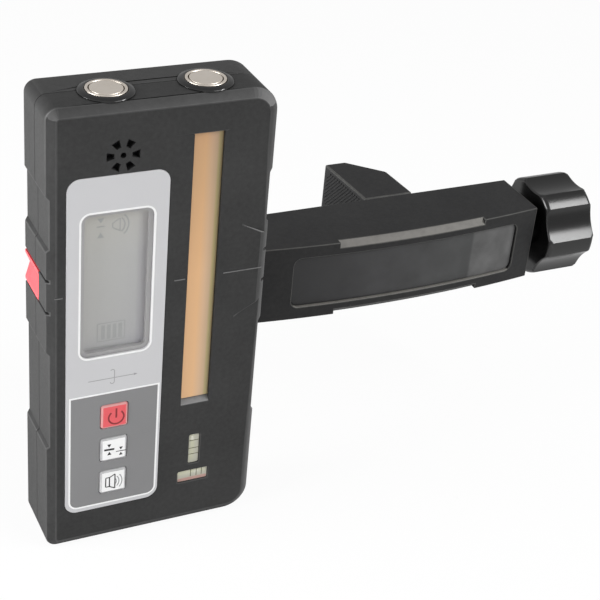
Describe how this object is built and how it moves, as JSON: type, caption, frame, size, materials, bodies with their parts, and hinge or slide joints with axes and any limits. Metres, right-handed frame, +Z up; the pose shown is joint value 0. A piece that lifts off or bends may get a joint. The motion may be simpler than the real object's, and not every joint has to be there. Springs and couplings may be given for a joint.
{
  "type": "laser receiver",
  "caption": "Hand-held receiver for a rotating laser: tall housing with display, keys and amber sensor window, on a screw clamp that grips a levelling staff.",
  "frame": {"origin": "middle of the housing's bottom face", "axes": "+Z up the housing, +X along the clamp arm towards its knob, -Y out of the face with the display"},
  "size_m": [0.2304, 0.0831, 0.1712],
  "materials": {
    "case_plastic": "fine moulded texture",
    "arm_plastic": "fine moulded texture",
    "knob_plastic": "satin gloss",
    "plate_plastic": "printed film",
    "lens_clear": "clear gloss",
    "display_glass": "matte glass",
    "strip_rubber": "matt",
    "key_red": "satin",
    "key_white": "satin",
    "board": "lacquered",
    "amber": "gloss",
    "chip": "gloss",
    "vial_acrylic": "clear gloss",
    "steel": "plain",
    "nickel": "satin nickel",
    "seat_plastic": "satin",
    "index_red": "satin",
    "cell_sleeve": "printed sleeve",
    "brass": "turned"
  },
  "bodies": {
    "receiver": {"front_shell": "case_plastic", "rear_shell": "case_plastic", "face_plate": "plate_plastic", "lcd_lens": "lens_clear", "lcd_module": "display_glass", "zebra_strips": "strip_rubber", "dome_switches": "steel", "main_board": "board", "sensor_window": "amber", "sensor_board": "board", "photodiodes": "chip", "buzzer": "chip", "vertical_vial": "vial_acrylic", "horizontal_vial": "vial_acrylic", "vial_retainer": "seat_plastic", "board_screws": "steel", "left_magnet_seat": "seat_plastic", "right_magnet_seat": "seat_plastic", "left_magnet_cup": "nickel", "right_magnet_cup": "nickel", "left_magnet": "nickel", "right_magnet": "nickel", "left_index_insert": "index_red", "right_index_insert": "index_red", "left_cell": "cell_sleeve", "right_cell": "cell_sleeve", "battery_bridge": "nickel", "battery_terminals": "nickel", "clamp_insert": "brass", "case_screws": "steel", "clamp_arm": "arm_plastic", "arm_rear_cover": "arm_plastic", "arm_cover_screws": "steel", "arm_label_plate": "arm_plastic", "fixed_jaw": "arm_plastic", "fixed_jaw_screws": "steel", "inner_bush": "brass", "outer_bush": "brass"},
    "jaw": {"moving_jaw": "arm_plastic", "jaw_carriage": "arm_plastic", "jaw_nut": "brass", "jaw_screws": "steel"},
    "spindle": {"lead_screw": "steel", "retaining_ring": "steel", "clamp_knob": "knob_plastic", "knob_pin": "steel", "knob_cap": "knob_plastic"},
    "power_button": {"key_power": "key_red"},
    "accuracy_button": {"key_accuracy": "key_white"},
    "volume_button": {"key_volume": "key_white"},
    "door": {"battery_door": "case_plastic", "door_hinge_pin": "steel"},
    "bolt": {"clamp_bolt": "knob_plastic"}
  },
  "joints": [
    {"name": "knob_turn", "type": "hinge", "parent": "receiver", "child": "spindle", "pos_m": [0.18, 0.026, 0.0789], "axis": [1, 0, 0], "range_deg": [-3600, 2160]},
    {"name": "jaw_slide", "type": "slide", "parent": "receiver", "child": "jaw", "axis": [1, 0, 0], "range_m": [-0.04, 0.024]},
    {"name": "power_press", "type": "slide", "parent": "receiver", "child": "power_button", "axis": [0, 1, 0], "range_m": [0, 0.0005], "stiffness_N_per_m": 4000},
    {"name": "accuracy_press", "type": "slide", "parent": "receiver", "child": "accuracy_button", "axis": [0, 1, 0], "range_m": [0, 0.0005], "stiffness_N_per_m": 4000},
    {"name": "volume_press", "type": "slide", "parent": "receiver", "child": "volume_button", "axis": [0, 1, 0], "range_m": [0, 0.0005], "stiffness_N_per_m": 4000},
    {"name": "door_swing", "type": "hinge", "parent": "receiver", "child": "door", "pos_m": [0, 0.0109, 0.0086], "axis": [-1, 0, 0], "range_deg": [0, 95]},
    {"name": "bolt_turn", "type": "hinge", "parent": "receiver", "child": "bolt", "pos_m": [0, 0.045, 0.0789], "axis": [0, 1, 0], "range_deg": [-360, 0]}
  ],
  "couplings": [
    {"joint": "knob_turn", "follows": "jaw_slide", "rad_per_m": 1570.8}
  ]
}
